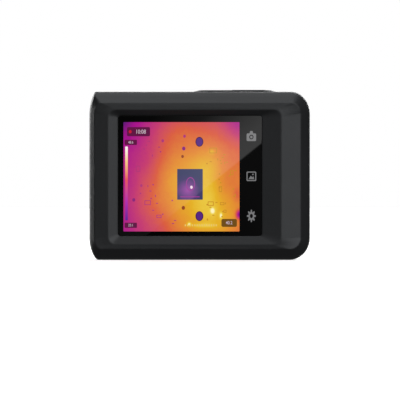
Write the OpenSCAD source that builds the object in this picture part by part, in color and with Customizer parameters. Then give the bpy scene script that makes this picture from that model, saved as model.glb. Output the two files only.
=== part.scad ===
// Pocket thermal imaging camera: two-part casing, touch display, thermal core, boards, battery,
// capture button and port door. Millimetres, +X to the user's right as the screen is read,
// +Y towards the lens side, +Z up. The origin is on the resting face, under the middle of the body.

/* [Body] */
// Width of the casing
body_w = 111.5; // [109:0.5:118]
// Height of the casing, without the button plinth
body_h = 85; // [84:0.5:90]
// Depth from the crest round the screen to the face of the lens bezel
depth = 24; // [24:0.5:27]
// Wall thickness of both covers
wall = 2.2; // [2:0.1:2.4]

/* [Screen recess] */
// Depth of the cover glass below the crest
recess_depth = 1.8; // [1.4:0.1:2.2]
// Width of the cover glass
glass_w = 72.3; // [70:0.1:73]
// Height of the cover glass
glass_h = 60.6; // [58:0.1:61]
// Middle of the cover glass, from the middle of the body
glass_x = -4.85; // [-5.5:0.05:-4.5]
// Middle of the cover glass, above the resting face
glass_z = 42.5; // [42:0.05:43.5]

/* [Button] */
// Length of the button cap
button_w = 17.2; // [14:0.2:18]
// Depth of the button cap, front to back
button_d = 5.6; // [5:0.1:5.8]
// Middle of the button cap, from the middle of the body
button_x = 24.9; // [23:0.1:26]
// Height of the plinth that holds the button
plinth_h = 0.85; // [0.6:0.05:1.2]
// How far the button stands above its plinth
button_proud = 0.15; // [0.1:0.05:0.3]

/* [Thermal lens] */
// Outside radius of the lens barrel
barrel_r = 7; // [6.4:0.1:7.2]
// Radius of the germanium elements
element_r = 5.1; // [4.4:0.1:5.2]

/* [Port door] */
// Height of the door over the charging socket
door_h = 17.3; // [16:0.1:18]
// Width of the door, front to back
door_w = 7.2; // [6.8:0.1:7.2]

/* [Hidden] */
$fn = 48;

// Small lengths used all over
eps = 0.01;      // overshoot of a cut
gap = 0.15;      // clearance round a loose piece
seam = 0.15;     // bevel where the two covers meet

// Faces of the casing
side_x = body_w / 2;
rear_y = -depth / 2;
bezel_y = depth / 2;
face_y = bezel_y - 1.5;            // front face of the front cover
split_y = rear_y + 18;             // plane where the two covers meet
flat_y = rear_y + 8;               // where the side walls start to roll towards the screen
roof_y = face_y - 2;               // inside face of the front cover

// Corner shapes of the outline: horizontal radius, vertical radius, superellipse exponent
corner_tr = [9.1, 11.1, 2];
corner_tl = [3.2, 11, 1.6];
corner_bl = [4.5, 11, 1.7];
corner_br = [10.1, 11.1, 2];
corner_steps = 9;
corner_least = 3.5;     // smallest corner radius of the frame round the screen

// Insets from the outline on the left, right, bottom and top sides
crease_in = [2.6, 4.8, 5.5, 5.9];      // outer edge of the rim round the screen
crest_in = [9.4, 14.4, 7.7, 9];        // outer edge of the narrow crest
recess_in = [9.9, 14.9, 8.1, 9.4];     // inner edge of the crest, where the recess starts
// Depth of the crease below the crest on the left and right sides, then at the left and right
// ends of the bottom side, then at those of the top side
crease_drop = [1.1, 2.1, 0.08, 0.25, 0.3, 0.7];

// Layers behind the cover glass
glass_y = rear_y + recess_depth;
glass_t = 1.1;
tape_t = 0.2;
ledge_y = glass_y + glass_t + tape_t;
floor_y = ledge_y + 1.5;               // rear floor of the cavity
lcd_t = 1.6;
backlight_t = 2;
frame_y = ledge_y + lcd_t + backlight_t + 0.3;
frame_t = 1;
board_y = frame_y + frame_t + 1.6;
board_t = 1;
board_face_y = board_y + board_t;
lcd_l = -39.9;
lcd_r = 22.6;
lcd_b = 13.95;
lcd_top = 71.55;

// Positions in the plane of the screen, as [x, z]
case_screw_at = [[-47, 77.5], [-47, 7.5], [45, 75], [45, 10]];
frame_screw_at = [[-48, 30], [-48, 62], [51, 30], [51, 62]];
board_screw_at = [[-46.5, 15], [-46.5, 70], [6, 15], [6, 62]];
lens_at = [-28, 60];
camera_at = [-8.6, 66];
torch_at = [-8.6, 54];
core_screw_at = [[-35.2, 46.3], [-35.2, 68.3], [-14.3, 68.3], [-14.3, 52.8]];
core_ear_at = [[-39.3, 66], [-16, 42.2]];

// Layers of the thermal core, from the board to the lens
core_y = split_y - 4.4;                // rear face of the core board
core_board_t = 1;
detector_y = core_y + core_board_t;
chamber_y = detector_y + 2.4;          // rear of the shutter chamber
chamber_t = 1.1;
throat_y = chamber_y + chamber_t;
seat_y = throat_y + 0.4;               // where the barrel bottoms out
housing_y = roof_y - 0.1;              // front face of the core housing
ear_r = 2.4;                           // ears that screw the core to the front cover
ear_t = 1;
core_l = -37;
core_r = -12.5;
core_b = 44.5;
core_top = 70;
pivot_at = [-28, 49];                  // pivot of the calibration shutter
arm_len = norm(lens_at - pivot_at);
park_deg = 48;                         // swing from parked to closed
paddle_r = 4.2;
aperture_r = 3.4;

// Capture button, in a plinth on top of the casing
mid_y = rear_y + 13;                   // middle of the side walls, front to back
plinth_top = body_h + plinth_h;
plinth_l = -3.9;
plinth_r = 39.5;
plinth_ramp_l = 3.8;
plinth_ramp_r = 2.9;
plinth_d = 8.2;
plinth_z = body_h - 0.75;              // underside of the plinth plate
cap_top = plinth_top + button_proud;
flange_t = 0.8;
shelf_z = 76;                          // underside of the shelf that carries the switch
shelf_t = 1.5;
switch_z = shelf_z + shelf_t + 0.8;
switch_h = 1.7;
actuator_top = switch_z + switch_h + 1;

// Charging socket and its door
socket_y = board_face_y + 1.63;
socket_z = 42.5;
socket_x = -side_x + 2.7;              // mouth of the socket
bay_depth = 1.9;
door_t = 1.6;
pin_at = [-side_x + 1.2, socket_z - 8.6];   // door hinge axis, as [x, z]
pin_r = 0.5;
knuckle_r = 1.2;

// Tripod socket and strap bar
insert_r = 3.6;
thread_r = 2.55;
insert_z0 = 0.3;
insert_z1 = 7.3;
strap_at = [side_x - 1.6, 18];         // axis of the strap bar, as [x, z]
strap_r = 0.9;

// ---------- outline of the casing ----------

function signed_pow(v, e) = sign(v) * pow(abs(v), e);

// One corner of a ring, turning from angle first to first + 90, with the depth going from y0 to y1
function corner(cx, cz, shape, first, y0, y1) = [
    for (i = [0 : corner_steps])
        let (t = i / corner_steps, ang = first + 90 * t, e = 2 / shape[2])
        [cx + shape[0] * signed_pow(cos(ang), e), y0 + (y1 - y0) * t,
         cz + shape[1] * signed_pow(sin(ang), e)]
];

function shrink(shape, dx, dz, least) =
    [max(shape[0] - dx, least), max(shape[1] - dz, least), min(2, shape[2] + dx / 4)];

// The casing's outline moved in by ins = [left, right, bottom, top], at the depths ys, which are in
// the order of crease_drop, with corner radii of at least the given size
function ring(ins, ys, least = 0.6) =
    let (l = -side_x + ins[0], r = side_x - ins[1], b = ins[2], t = body_h - ins[3],
         tr = shrink(corner_tr, ins[1], ins[3], least), tl = shrink(corner_tl, ins[0], ins[3], least),
         bl = shrink(corner_bl, ins[0], ins[2], least), br = shrink(corner_br, ins[1], ins[2], least))
    concat(corner(r - tr[0], t - tr[1], tr, 0, ys[1], ys[5]),
           corner(l + tl[0], t - tl[1], tl, 90, ys[4], ys[0]),
           corner(l + bl[0], b + bl[1], bl, 180, ys[0], ys[2]),
           corner(r - br[0], b + br[1], br, 270, ys[3], ys[1]));

function level(y) = [1, 1, 1, 1, 1, 1] * y;

function flat_ring(inset, y) = ring([1, 1, 1, 1] * inset, level(y));

// A closed solid through rings of equal numbers of points, in order of rising Y
module loft(rings) {
    n = len(rings[0]);
    last = len(rings) - 1;
    sides = [
        for (k = [0 : last - 1], i = [0 : n - 1], half = [0, 1])
            let (j = (i + 1) % n)
            half == 0 ? [k * n + i, k * n + j, (k + 1) * n + j]
                      : [k * n + i, (k + 1) * n + j, (k + 1) * n + i]
    ];
    caps = [[for (i = [n - 1 : -1 : 0]) i], [for (i = [0 : n - 1]) last * n + i]];
    polyhedron(points = [for (r = rings) each r], faces = concat(sides, caps));
}

module outline(inset) {
    polygon([for (p = flat_ring(inset, 0)) [p[0], p[2]]]);
}

// ---------- helpers ----------

// A flat shape in the plane of the screen, given thickness from y0 to y1
module slab(y0, y1) {
    translate([0, y1, 0]) rotate([90, 0, 0]) linear_extrude(y1 - y0) children();
}

// A flat shape drawn as [y, z], given thickness from x0 to x1
module bar(x0, x1) {
    translate([x0, 0, 0]) rotate([90, 0, 90]) linear_extrude(x1 - x0) children();
}

// A round shape along Y at the place at = [x, z]
module rod(at, r, y0, y1) {
    translate([at[0], y1, at[1]]) rotate([90, 0, 0]) cylinder(r = r, h = y1 - y0);
}

// A box given by its lowest and highest corners
module block(lo, hi) {
    translate(lo) cube(hi - lo);
}

module rounded(w, h, r) {
    square([w - 2 * r, h], center = true);
    square([w, h - 2 * r], center = true);
    for (x = [-1, 1], y = [-1, 1])
        translate([x * (w / 2 - r), y * (h / 2 - r)]) circle(r);
}

module pill(w, d) {
    square([w - d, d], center = true);
    for (x = [-1, 1]) translate([x * (w - d) / 2, 0]) circle(d / 2);
}

// A screw along Y with its head's underside at y, the shank going in direction dir
module screw(at, y, dir, shank_r, shank_l, head_r, head_t) {
    difference() {
        union() {
            rod(at, shank_r, min(y, y + dir * shank_l), max(y, y + dir * shank_l));
            rod(at, head_r, min(y, y - dir * head_t), max(y, y - dir * head_t));
        }
        for (turn = [0, 90])
            translate([at[0], y - dir * head_t, at[1]]) rotate([0, turn, 0])
                cube([head_r * 1.2, head_t, head_r * 0.28], center = true);
    }
}

// ---------- casing ----------

// The outer edge is a flat bevel below the crease, and then a curve into the side wall. Its points
// are shares of the crease inset and of the crease's height above flat_y.
bevel_foot = 0.3;       // where the bevel's line would meet the side wall
bevel_start = [0.4, bevel_foot + 0.4 * (1 - bevel_foot)];
function edge_curve(t) = [bevel_start[0] * t * t, 2 * bevel_foot * t * (1 - t) + bevel_start[1] * t * t];
edge_profile = concat([[1, 1]], [for (t = [1 : -0.25 : 0]) edge_curve(t)]);
crease_ys = [for (d = crease_drop) rear_y + d];

module rear_skin() {
    loft(concat(
        [ring(crest_in, level(rear_y), corner_least)],
        [for (p = edge_profile)
            ring(crease_in * p[0], [for (y = crease_ys) flat_y + (y - flat_y) * p[1]],
                 corner_least * p[0])],
        [flat_ring(0, split_y - seam), flat_ring(seam, split_y)]
    ));
}

// The sloping frame between the crest and the glass
module screen_recess() {
    inner = [glass_x - glass_w / 2 - gap + side_x, side_x - glass_x - glass_w / 2 - gap,
             glass_z - glass_h / 2 - gap, body_h - glass_z - glass_h / 2 - gap];
    loft([ring(recess_in, level(rear_y - 1), corner_least), ring(recess_in, level(rear_y), corner_least),
          ring(inner, level(glass_y), 1.3)]);
    slab(glass_y - eps, ledge_y) translate([glass_x, glass_z])
        rounded(glass_w + 2 * gap, glass_h + 2 * gap, 1.4);
}

module door_bay() {
    y0 = socket_y - door_w / 2 - 0.2;
    y1 = socket_y + door_w / 2 + 0.2;
    block([-side_x - 1, y0, pin_at[1] - 1.4], [-side_x + bay_depth, y1, pin_at[1] + door_h + 0.2]);
    rod(pin_at, knuckle_r + 0.2, y0, y1);
    rod(pin_at, pin_r + 0.05, y0 - 1, y1 + 1);
    // nail notch above the door
    translate([-side_x, socket_y, pin_at[1] + door_h]) sphere(1.8);
    bar(-side_x, -side_x + 6) translate([socket_y, socket_z]) rotate(90) pill(9.3, 3.66);
}

module rear_cover() {
    color([0.09, 0.09, 0.1]) difference() {
        union() {
            difference() {
                rear_skin();
                slab(floor_y, split_y + 1) outline(wall + 1.6);
                slab(floor_y + 1.6, split_y + 1) outline(wall);
            }
            for (at = case_screw_at) rod(at, 3, floor_y - 0.5, split_y);
            for (at = frame_screw_at) rod(at, 1.8, floor_y - 0.5, frame_y);
            block([-side_x + 1, socket_y - 4.6, 31], [-side_x + 4.5, socket_y + 4.6, 54]);
            block([47.6, mid_y - 4.4, 12], [side_x - 1, mid_y + 4.2, 24]);
            translate([0, mid_y, 1]) cylinder(r = insert_r + 1.3, h = insert_z1 + 1);
            block([13, floor_y - 0.5, shelf_z], [37, mid_y + 4, shelf_z + shelf_t]);
        }
        screen_recess();
        block([lcd_l - 0.1, ledge_y - eps, lcd_b - 0.1], [lcd_r + 0.6, floor_y + eps, lcd_top + 0.1]);
        for (at = case_screw_at) rod(at, 0.95, rear_y + 9, split_y + 1);
        for (at = frame_screw_at) rod(at, 0.75, floor_y + 0.2, frame_y + 1);
        door_bay();
        block([strap_at[0] - 3.4, mid_y - 3, 14], [side_x + 1, mid_y + 3, 22]);
        rod(strap_at, strap_r, mid_y - 3.9, mid_y + 3.9);
        translate([0, mid_y, -1]) cylinder(r = insert_r, h = insert_z1 + 1);
        translate([(plinth_l + plinth_r) / 2, mid_y, plinth_z])
            linear_extrude(3) pill(plinth_r - plinth_l, plinth_d);
        translate([button_x, mid_y, plinth_z - 4]) linear_extrude(5)
            pill(button_w + 1.8, button_d + 1.5);
        translate([6, mid_y, plinth_z - 4]) cylinder(r = 0.85, h = 5);
        slab(split_y - 0.6, split_y + 1) difference() {
            outline(0.9);
            outline(1.5);
        }
    }
}

module front_cover() {
    rim = 4;          // width of the rounded front edge
    rise = face_y - split_y - 0.8;
    color([0.09, 0.09, 0.1]) difference() {
        union() {
            difference() {
                loft(concat([flat_ring(seam, split_y), flat_ring(0, split_y + seam)],
                    [for (a = [0 : 15 : 90]) flat_ring(rim * (1 - cos(a)), face_y - rise * (1 - sin(a)))]));
                slab(split_y - 1, roof_y) outline(wall);
            }
            for (at = case_screw_at) rod(at, 3, split_y, roof_y + 0.5);
            for (at = core_ear_at) rod(at, ear_r - 0.2, chamber_y + ear_t, roof_y + 0.5);
        }
        for (at = case_screw_at) {
            rod(at, 1.1, split_y - 1, face_y);
            rod(at, 2.1, face_y - 1.6, face_y + 1);
        }
        for (at = core_ear_at) rod(at, 0.85, throat_y - 1, roof_y + 0.8);
        rod(lens_at, barrel_r + 0.5, split_y, face_y + 1);
        rod(camera_at, 3.3, split_y, face_y + 1);
        rod(torch_at, 3.3, split_y, face_y + 1);
        slab(face_y - 0.5, face_y + 1) translate([-21, 60]) rounded(40, 25, 9);
        slab(face_y - 0.4, face_y + 1) translate([33, 42]) rounded(22, 56, 6);
    }
}

module case_seal() {
    color([0.25, 0.25, 0.27]) slab(split_y - 0.6, split_y) difference() {
        outline(0.9);
        outline(1.5);
    }
}

module case_screws() {
    color([0.2, 0.2, 0.22]) for (at = case_screw_at)
        screw(at, face_y - 1.6, -1, 0.95, 10.4, 1.9, 1.2);
}

// ---------- display ----------

module cover_glass() {
    color([0.02, 0.02, 0.03]) slab(glass_y, glass_y + glass_t)
        translate([glass_x, glass_z]) rounded(glass_w, glass_h, 1.2);
}

module glass_adhesive() {
    color([0.1, 0.1, 0.1]) slab(ledge_y - tape_t, ledge_y) difference() {
        translate([glass_x, glass_z]) rounded(glass_w, glass_h, 1.2);
        translate([lcd_l - 0.1, lcd_b - 0.1]) square([lcd_r - lcd_l + 0.7, lcd_top - lcd_b + 0.2]);
    }
}

module lcd_panel() {
    // the panel is bonded to the back of the glass
    color([0.9, 0.45, 0.2]) block([lcd_l, ledge_y - tape_t, lcd_b], [lcd_r, ledge_y + lcd_t, lcd_top]);
}

module lcd_backlight() {
    color([0.8, 0.8, 0.82])
        block([lcd_l + 0.4, ledge_y + lcd_t, lcd_b + 0.4],
              [lcd_r - 0.6, ledge_y + lcd_t + backlight_t, lcd_top - 0.4]);
}

module display_flex() {
    z0 = 34;
    z1 = 50;
    y = frame_y - 0.25;
    color([0.85, 0.5, 0.15]) union() {
        block([lcd_r, ledge_y + 0.6, z0], [lcd_r + 0.5, ledge_y + 0.8, z1]);
        block([lcd_r + 0.3, ledge_y + 0.6, z0], [lcd_r + 0.5, y + 0.2, z1]);
        block([-2, y, z0], [lcd_r + 0.5, y + 0.2, z1]);
        block([-2, y, z0], [-1.8, board_y - 0.9, z1]);
        block([-6, board_y - 1, z0], [-1.8, board_y - 0.8, z1]);
        block([-6, board_y - 0.9, z0 + 1], [-3, board_y, z1 - 1]);
    }
}

module mid_frame() {
    color([0.6, 0.62, 0.64]) difference() {
        union() {
            block([-51, frame_y, 12], [52, frame_y + frame_t, 73.5]);
            for (at = board_screw_at) rod(at, 1.8, frame_y, board_y);
            // ribs beside the battery
            block([10.4, frame_y, 14], [11.6, frame_y + 4, 70]);
            block([47.4, frame_y, 26], [48.6, frame_y + 4, 70]);
        }
        for (at = case_screw_at) rod(at, 3.6, frame_y - 1, frame_y + 2);
        for (at = frame_screw_at) rod(at, 0.95, frame_y - 1, frame_y + 2);
        for (at = board_screw_at) rod(at, 0.75, frame_y - 1, board_y + 1);
        block([-2.6, frame_y - 1, 33], [-1.2, frame_y + 2, 51]);
        // weight-saving windows behind the display
        for (z = [26, 58]) slab(frame_y - 1, frame_y + 2) translate([-24, z]) rounded(26, 14, 2);
    }
}

module frame_screws() {
    color([0.75, 0.75, 0.77]) for (at = frame_screw_at)
        screw(at, frame_y + frame_t, -1, 0.75, 3, 1.5, 0.9);
}

// ---------- electronics ----------

module main_board() {
    color([0.05, 0.3, 0.15]) difference() {
        block([-50, board_y, 11], [9.5, board_face_y, 74]);
        for (at = board_screw_at) rod(at, 0.95, board_y - 1, board_face_y + 1);
        for (at = frame_screw_at) rod(at, 2.5, board_y - 1, board_face_y + 1);
    }
}

module board_screws() {
    color([0.75, 0.75, 0.77]) for (at = board_screw_at)
        screw(at, board_face_y, -1, 0.75, 3, 1.5, 0.9);
}

// [left, bottom, width, height, thickness] of the packages on the lens side of the board
chip_list = [
    [-12, 16, 9, 11, 1.1], [-12, 31, 6, 6, 0.9], [-4, 31, 5, 5, 0.8], [-44, 50.5, 5, 4, 1.2],
    [-2, 20, 5, 6, 1], [-44, 26, 3, 5, 1.6], [-12.4, 47.4, 6.8, 2, 1.2], [-3, 41, 8, 3, 1.3]
];

module board_chips() {
    color([0.12, 0.12, 0.13]) for (c = chip_list)
        block([c[0], board_face_y, c[1]], [c[0] + c[2], board_face_y + c[4], c[1] + c[3]]);
}

module processor_shield() {
    color([0.75, 0.75, 0.77]) difference() {
        block([-38, board_face_y, 15], [-16, board_face_y + 2, 35]);
        block([-37.7, board_face_y - 1, 15.3], [-16.3, board_face_y + 1.7, 34.7]);
    }
}

module usb_socket_shell() {
    color([0.78, 0.78, 0.8]) bar(socket_x, socket_x + 7.3) translate([socket_y, socket_z]) rotate(90)
        difference() {
            pill(8.94, 3.2);
            pill(8.34, 2.56);
        }
}

module usb_socket_tongue() {
    color([0.05, 0.05, 0.05]) union() {
        bar(socket_x + 5.6, socket_x + 7.3) translate([socket_y, socket_z]) rotate(90) pill(8.34, 2.56);
        block([socket_x + 1, socket_y - 0.35, socket_z - 3.34],
              [socket_x + 5.7, socket_y + 0.35, socket_z + 3.34]);
    }
}

battery_lo = [12, frame_y + frame_t + tape_t, 14];
battery_hi = [47, split_y - 1.6, 70];

module battery() {
    color([0.7, 0.72, 0.75]) difference() {
        slab(battery_lo[1], battery_hi[1])
            translate([(battery_lo[0] + battery_hi[0]) / 2, (battery_lo[2] + battery_hi[2]) / 2])
                rounded(battery_hi[0] - battery_lo[0], battery_hi[2] - battery_lo[2], 1.5);
        // step at the sealed tab end of the pouch
        block([battery_lo[0] - 1, mid_y, battery_hi[2] - 3], battery_hi + [1, 1, 1]);
    }
}

module battery_tape() {
    color([0.9, 0.85, 0.5])
        block([battery_lo[0] + 4, battery_lo[1] - tape_t, battery_lo[2] + 4],
              [battery_hi[0] - 4, battery_lo[1], battery_hi[2] - 6]);
}

// A round wire through points, with a slightly fatter ball at each bend
module wire(points, r) {
    for (i = [0 : len(points) - 2]) {
        a = points[i];
        d = points[i + 1] - a;
        translate(a) rotate([0, acos(d[2] / norm(d)), atan2(d[1], d[0])])
            cylinder(r = r, h = norm(d));
    }
    for (i = [1 : len(points) - 2]) translate(points[i]) sphere(r * 1.08);
}

module battery_leads() {
    lead_y = board_face_y + 1;
    color([0.7, 0.1, 0.1]) for (k = [0, 1])
        wire([[15 + 2 * k, mid_y + 0.9, battery_hi[2] - 3], [15 + 2 * k, mid_y + 0.9, 72.5 + 1.4 * k],
              [8, lead_y, 72.5 + 1.4 * k], [5.5 - 0.6, lead_y, 72.5 + 1.4 * k]], 0.5);
}

module battery_plug() {
    color([0.92, 0.92, 0.88]) block([1.5, board_face_y, 71.4], [4.9, board_face_y + 2.2, 74]);
}

// ---------- thermal core ----------

module core_footprint(inset) {
    translate([core_l + inset, core_b + inset])
        square([core_r - core_l - 2 * inset, core_top - core_b - 2 * inset]);
}

module core_screw_holes(r, y0, y1) {
    for (at = core_screw_at) rod(at, r, y0, y1);
}

module core_board() {
    color([0.05, 0.3, 0.15]) difference() {
        slab(core_y, detector_y) core_footprint(0);
        core_screw_holes(0.85, core_y - 1, detector_y + 1);
    }
}

module core_connector() {
    color([0.1, 0.1, 0.1]) block([-33, board_face_y, 61], [-21, core_y, 65]);
}

module ir_detector() {
    color([0.75, 0.7, 0.6]) slab(detector_y, detector_y + 1.5) translate(lens_at) rounded(12, 12, 0.8);
}

module detector_window() {
    color([0.3, 0.32, 0.36]) slab(detector_y + 1.5, detector_y + 2) translate(lens_at)
        square([7.5, 7.5], center = true);
}

module nuc_base() {
    color([0.55, 0.56, 0.58]) difference() {
        slab(detector_y, chamber_y) core_footprint(0.3);
        slab(detector_y - 1, detector_y + 2) translate(lens_at) square([12.6, 12.6], center = true);
        rod(lens_at, aperture_r, detector_y, chamber_y + 1);
        rod(pivot_at, 0.55, chamber_y - 1.2, chamber_y + 1);
        core_screw_holes(0.85, detector_y - 1, chamber_y + 1);
    }
}

// The region that the shutter blade sweeps
module chamber_shape() {
    hull() {
        for (a = [0 : park_deg / 4 : park_deg])
            translate(pivot_at + arm_len * [sin(a), cos(a)]) circle(paddle_r + 0.5);
        translate(pivot_at) circle(2.6);
    }
}

module nuc_blade() {
    blade_y = chamber_y + 0.35;
    color([0.15, 0.15, 0.15]) translate([pivot_at[0], 0, pivot_at[1]]) rotate([0, park_deg, 0])
        slab(blade_y, blade_y + 0.25) difference() {
            union() {
                translate([0, arm_len]) circle(paddle_r);
                translate([-1.2, 0]) square([2.4, arm_len - 2]);
                circle(1.9);
            }
            circle(0.5);
        }
}

module nuc_rotor() {
    color([0.5, 0.5, 0.52]) union() {
        rod(pivot_at, 0.5, chamber_y - 1, chamber_y + 3);
        rod(pivot_at, 1.5, chamber_y + 0.6, chamber_y + 2.6);
    }
}

module nuc_coil() {
    color([0.72, 0.4, 0.2]) translate([-22.6, chamber_y + 1.6, 48.2]) rotate([0, 90, 0])
        difference() {
            union() {
                cylinder(r = 1.25, h = 7);
                for (x = [0, 6.4]) translate([0, 0, x]) cylinder(r = 1.5, h = 0.6);
            }
            translate([0, 0, -1]) cylinder(r = 0.65, h = 9);
        }
}

module nuc_yoke() {
    y0 = chamber_y + 1.1;
    color([0.4, 0.4, 0.42]) union() {
        translate([-25.6, chamber_y + 1.6, 48.2]) rotate([0, 90, 0]) cylinder(r = 0.6, h = 11);
        block([-26.2, y0, 46.6], [-25.4, y0 + 1, 49.8]);
        block([-15.3, y0, 46.6], [-14.7, y0 + 1, 49.8]);
    }
}

module core_housing() {
    color([0.35, 0.36, 0.38]) difference() {
        union() {
            slab(chamber_y, housing_y) core_footprint(0);
            for (at = core_ear_at) rod(at, ear_r, chamber_y, chamber_y + ear_t);
            block([core_ear_at[0][0], chamber_y, core_ear_at[0][1] - ear_r],
                  [core_l + 1, chamber_y + ear_t, core_ear_at[0][1] + ear_r]);
            block([core_ear_at[1][0] - ear_r, chamber_y, core_ear_at[1][1]],
                  [core_ear_at[1][0] + ear_r, chamber_y + ear_t, core_b + 1]);
        }
        slab(chamber_y - 1, throat_y) chamber_shape();
        rod(lens_at, aperture_r + 0.8, throat_y - 1, seat_y + 1);
        rod(lens_at, barrel_r + 0.03, seat_y, housing_y + 1);
        rod(pivot_at, 1.8, chamber_y, chamber_y + 2.8);
        rod(pivot_at, 0.55, chamber_y, chamber_y + 3.2);
        block([-26.3, chamber_y - 1, 45.9], [-14, chamber_y + 3.1, 50.6]);
        core_screw_holes(0.7, chamber_y - 1, chamber_y + 2.2);
        for (at = core_ear_at) rod(at, 0.9, chamber_y - 1, throat_y);
    }
}

module core_screws() {
    color([0.75, 0.75, 0.77]) for (at = core_screw_at) screw(at, core_y, 1, 0.7, 5.4, 1.3, 0.8);
}

module core_mount_screws() {
    color([0.75, 0.75, 0.77]) for (at = core_ear_at)
        screw(at, chamber_y, 1, 0.8, 4, 1.6, 0.9);
}

// ---------- thermal lens ----------

module along_lens() {
    translate([lens_at[0], 0, lens_at[1]]) rotate([-90, 0, 0]) children();
}

barrel_y = seat_y;                        // rear end of the barrel
barrel_front_y = bezel_y - 0.6;
clear_r = element_r - 0.9;                // part of the elements that light passes through
rear_glass_y = barrel_y + 0.5;
rear_edge_t = 0.7;
front_glass_y = rear_glass_y + rear_edge_t + 1.1;
front_edge_t = 0.9;
ring_y = front_glass_y + front_edge_t;
flare_y = barrel_front_y - 0.9;

// A lens element with a flat rim and a domed middle
module element(y, edge_t, dome_r) {
    along_lens() translate([0, 0, y]) union() {
        cylinder(r = element_r - 0.02, h = edge_t);
        intersection() {
            cylinder(r = clear_r, h = edge_t + dome_r);
            translate([0, 0, edge_t - sqrt(dome_r * dome_r - clear_r * clear_r)]) sphere(dome_r);
        }
    }
}

module lens_barrel() {
    color([0.12, 0.12, 0.13]) along_lens() difference() {
        translate([0, 0, barrel_y]) cylinder(r = barrel_r, h = barrel_front_y - barrel_y);
        translate([0, 0, barrel_y - 1]) cylinder(r = clear_r, h = 3);
        translate([0, 0, rear_glass_y]) cylinder(r = element_r, h = 10);
        // flare in front of the glass
        translate([0, 0, flare_y]) cylinder(r1 = element_r, r2 = barrel_r - 0.6, h = 0.91);
        translate([0, 0, roof_y + 0.4]) difference() {
            cylinder(r = barrel_r + 1, h = 1);
            translate([0, 0, -1]) cylinder(r = barrel_r - 0.5, h = 3);
        }
    }
}

module lens_front_element() {
    color([0.35, 0.33, 0.4]) element(front_glass_y, front_edge_t, 14);
}

module lens_rear_element() {
    color([0.35, 0.33, 0.4]) element(rear_glass_y, rear_edge_t, 18);
}

module lens_spacer() {
    color([0.12, 0.12, 0.13]) along_lens() translate([0, 0, rear_glass_y + rear_edge_t]) difference() {
        cylinder(r = element_r - 0.02, h = front_glass_y - rear_glass_y - rear_edge_t);
        translate([0, 0, -1]) cylinder(r = clear_r + 0.1, h = 5);
    }
}

module lens_retaining_ring() {
    color([0.16, 0.16, 0.17]) along_lens() translate([0, 0, ring_y]) difference() {
        cylinder(r = element_r - 0.02, h = flare_y - ring_y);
        translate([0, 0, -1]) cylinder(r = clear_r + 0.1, h = 5);
        // spanner notches
        translate([0, 0, flare_y - ring_y]) cube([14, 1, 0.8], center = true);
    }
}

module lens_o_ring() {
    color([0.05, 0.05, 0.05]) along_lens() translate([0, 0, roof_y + 0.9]) rotate_extrude()
        translate([barrel_r, 0]) circle(0.46);
}

module lens_bezel() {
    color([0.14, 0.14, 0.15]) difference() {
        hull() {
            slab(face_y - 0.5, bezel_y - 0.7) translate([-21, 60]) rounded(39.8, 24.8, 8.9, $fn = 32);
            slab(bezel_y - 0.2, bezel_y) translate([-21, 60]) rounded(38.4, 23.4, 8.2, $fn = 32);
        }
        along_lens() {
            translate([0, 0, face_y - 2]) cylinder(r = barrel_r + 0.2, h = 5);
            translate([0, 0, bezel_y - 0.8]) cylinder(r1 = barrel_r + 0.2, r2 = barrel_r + 1.1, h = 0.81);
        }
        rod(camera_at, 2.9, face_y - 1, bezel_y + 1);
        rod(camera_at, 3.5, bezel_y - 1.2, bezel_y + 1);
        rod(torch_at, 3.2, face_y - 1, bezel_y + 1);
    }
}

// ---------- daylight camera and torch ----------

module camera_module() {
    color([0.1, 0.1, 0.11]) union() {
        block([camera_at[0] - 3.8, split_y - 2, camera_at[1] - 4.2],
              [camera_at[0] + 3.8, roof_y, camera_at[1] + 4.2]);
        rod(camera_at, 3, roof_y - 1, face_y - 0.9);
    }
}

module camera_window() {
    color([0.1, 0.12, 0.18]) rod(camera_at, 3.45, bezel_y - 1.2, bezel_y - 0.3);
}

module torch_led() {
    color([0.95, 0.9, 0.6]) {
        block([torch_at[0] - 3.2, split_y + 0.4, torch_at[1] - 3.2],
              [torch_at[0] + 3.2, split_y + 1.4, torch_at[1] + 3.2]);
        block([torch_at[0] - 1.7, split_y + 1.4, torch_at[1] - 1.7],
              [torch_at[0] + 1.7, split_y + 2.1, torch_at[1] + 1.7]);
        block([torch_at[0] - 1, split_y - 2, torch_at[1] - 1],
              [torch_at[0] + 1, split_y + 0.4, torch_at[1] + 1]);
    }
}

module torch_lens() {
    color([0.85, 0.88, 0.9]) union() {
        rod(torch_at, 3.15, face_y - 0.5, bezel_y - 0.4);
        rod(torch_at, 2.6, split_y + 2.3, face_y - 0.4);
    }
}

module front_flex() {
    y = split_y - 2.2;
    color([0.85, 0.5, 0.15]) union() {
        block([-11.5, y, 48.4], [-6.5, y + 0.2, camera_at[1] + 3]);
        block([-11.5, board_face_y + 1.2, 48.4], [-6.5, y + 0.2, 48.6]);
    }
}

module grip_pad() {
    color([0.06, 0.06, 0.065]) difference() {
        slab(face_y - 0.4, face_y + 1) translate([33, 42]) rounded(21.8, 55.8, 5.9);
        for (k = [-5 : 5]) translate([33, face_y + 1, 42 + 4.2 * k])
            rotate([0, 90, 0]) cylinder(r = 0.7, h = 15, center = true);
    }
}

// ---------- capture button ----------

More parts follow.
